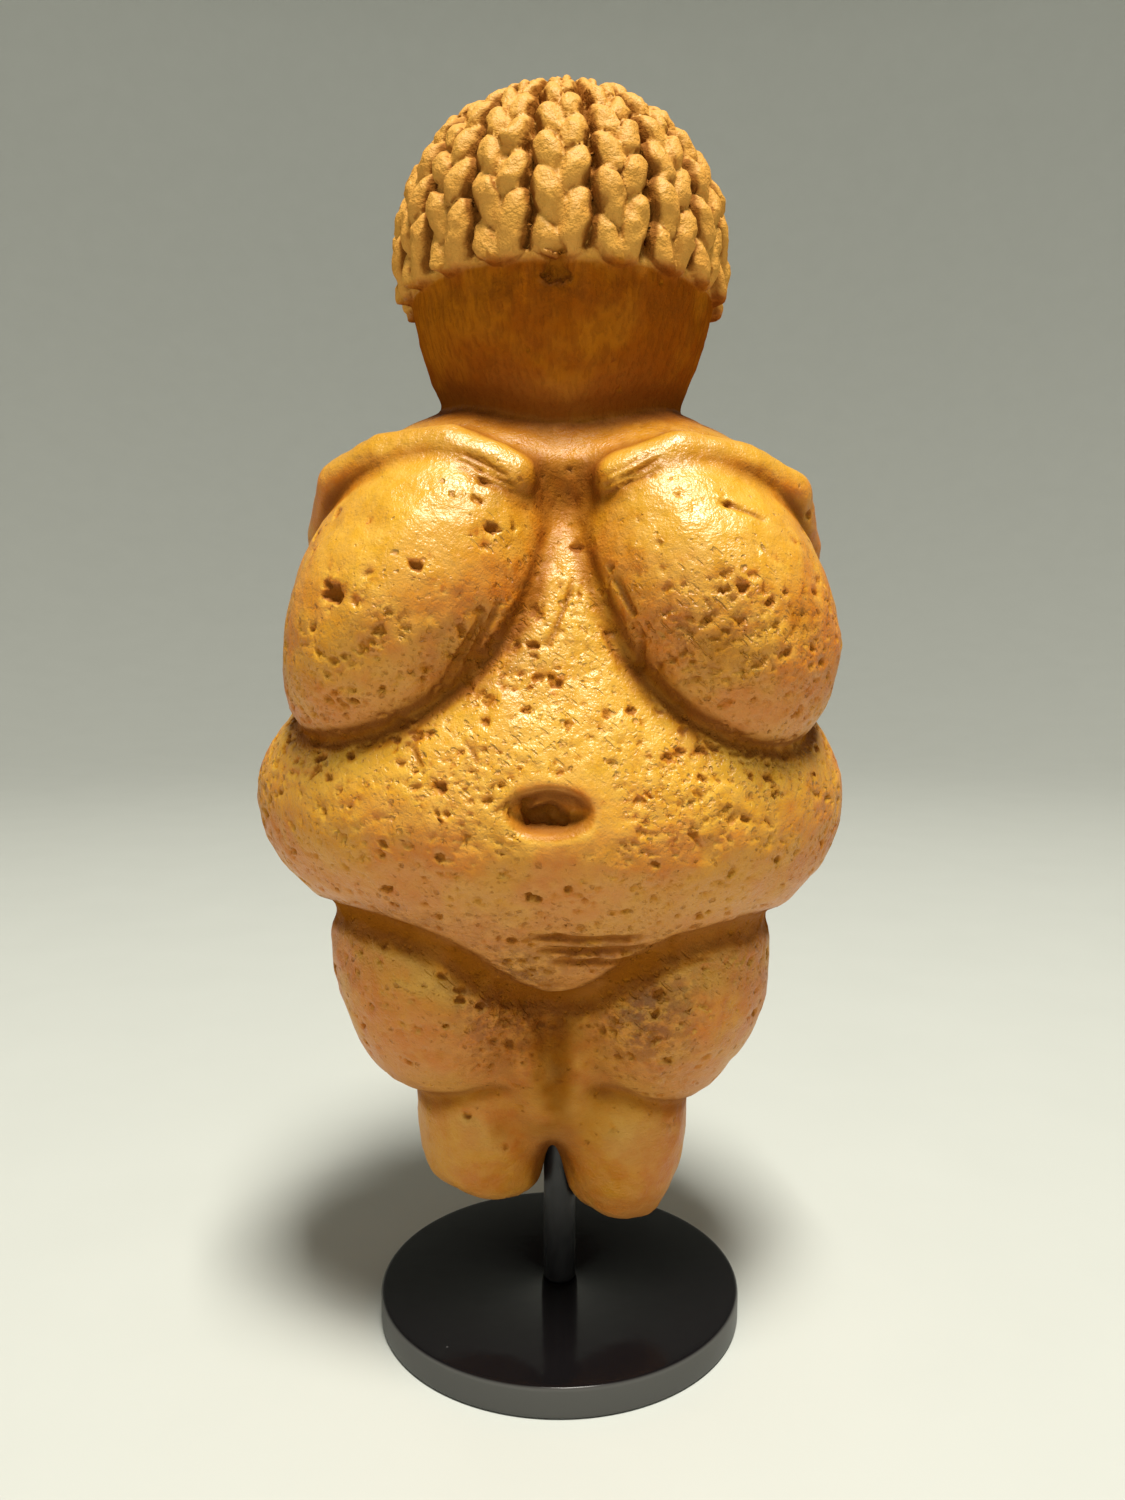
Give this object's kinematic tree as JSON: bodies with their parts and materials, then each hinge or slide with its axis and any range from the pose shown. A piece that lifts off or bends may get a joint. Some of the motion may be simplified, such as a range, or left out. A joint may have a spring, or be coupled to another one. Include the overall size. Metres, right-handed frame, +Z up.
{
  "type": "venus figurine",
  "caption": "Small cast-stone figurine of a stout standing woman in a plaited cap, held up by a rod on a round black foot.",
  "frame": {"origin": "middle of the round foot's underside, on the surface that the piece stands on", "axes": "+Z up along the rod; the figure faces -Y, and +X is its left"},
  "size_m": [0.0559, 0.0441, 0.117],
  "materials": {
    "cast_stone": "satin, ochre, pitted",
    "black_metal": "satin",
    "black_lacquer": "gloss"
  },
  "bodies": {
    "root": {"figurine": "cast_stone", "stand_rod": "black_metal", "stand_disc": "black_lacquer"}
  },
  "joints": []
}
